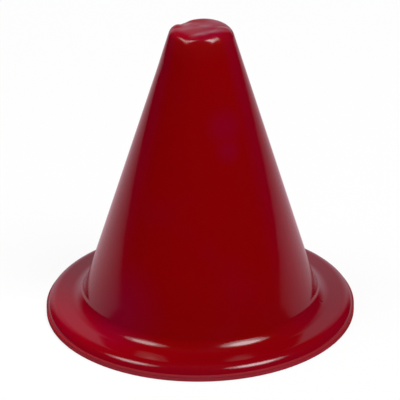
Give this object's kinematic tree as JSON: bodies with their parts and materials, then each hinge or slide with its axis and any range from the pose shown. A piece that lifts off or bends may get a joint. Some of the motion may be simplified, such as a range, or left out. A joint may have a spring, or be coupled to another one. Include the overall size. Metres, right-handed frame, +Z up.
{
  "type": "sports marker cone",
  "caption": "Soft hollow marker cone with a closed domed top, smooth tapered skin, wide rounded foot flange and a bonded ballasted base ring; stands on the ground to mark out a playing area.",
  "frame": {"origin": "middle of the round footprint, on the floor the cone stands on", "axes": "+Z up along the cone's axis from the base to the closed top; X and Y are free, because the part is turned about Z"},
  "size_m": [0.23, 0.23, 0.231],
  "materials": {
    "gloss_vinyl": "smooth high gloss, soft flexible vinyl",
    "satin_vinyl": "satin, as moulded",
    "bond_line": "cured adhesive, satin",
    "ballast_rubber": "matt filled rubber"
  },
  "bodies": {
    "root": {"cone_shell": "gloss_vinyl", "rim_bond": "bond_line", "base_ring": "satin_vinyl", "ballast_ring": "ballast_rubber"}
  },
  "joints": []
}
